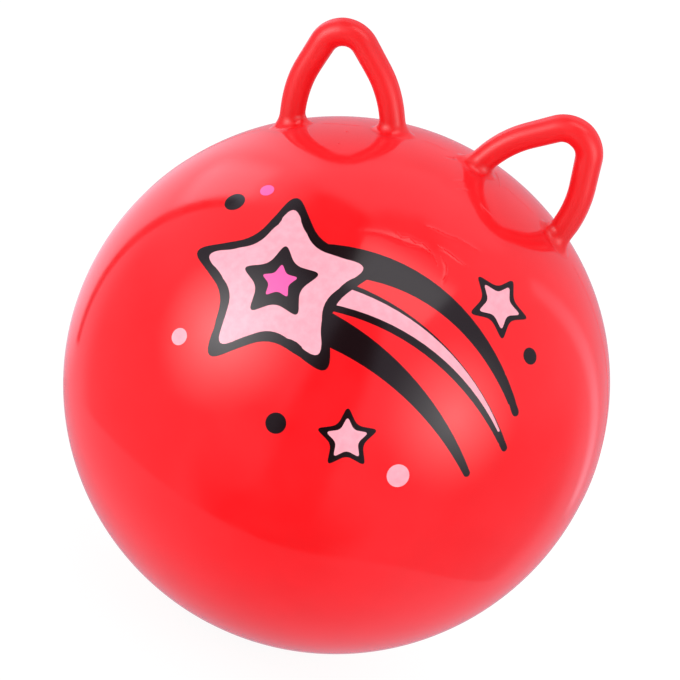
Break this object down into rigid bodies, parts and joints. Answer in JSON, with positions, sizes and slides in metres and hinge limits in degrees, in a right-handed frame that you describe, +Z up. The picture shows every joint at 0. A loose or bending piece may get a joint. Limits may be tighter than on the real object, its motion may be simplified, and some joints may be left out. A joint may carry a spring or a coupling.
{
  "type": "hopper ball",
  "caption": "Blown-up vinyl hopper ball with two hollow loop handles like ears, standing on a small flat, and a stopper valve at the back.",
  "frame": {"origin": "on the floor under the ball's centre, in the middle of the small flat that the ball rests on", "axes": "+Z up between the two handles, the handles lean out to -X and +X, the printed front faces -Y and the valve is at the back, towards +Y"},
  "size_m": [0.4499, 0.4498, 0.5153],
  "materials": {
    "vinyl": "glossy soft red PVC, rotation moulded",
    "stopper": "white moulded polyethylene, satin"
  },
  "bodies": {
    "ball": {"ball_skin": "vinyl", "left_handle": "vinyl", "right_handle": "vinyl", "valve_seat": "vinyl"},
    "plug": {"valve_plug": "stopper"}
  },
  "joints": [
    {"name": "plug_pull", "type": "slide", "parent": "ball", "child": "plug", "axis": [0, 0.9397, -0.342], "range_m": [0, 0.03]}
  ]
}
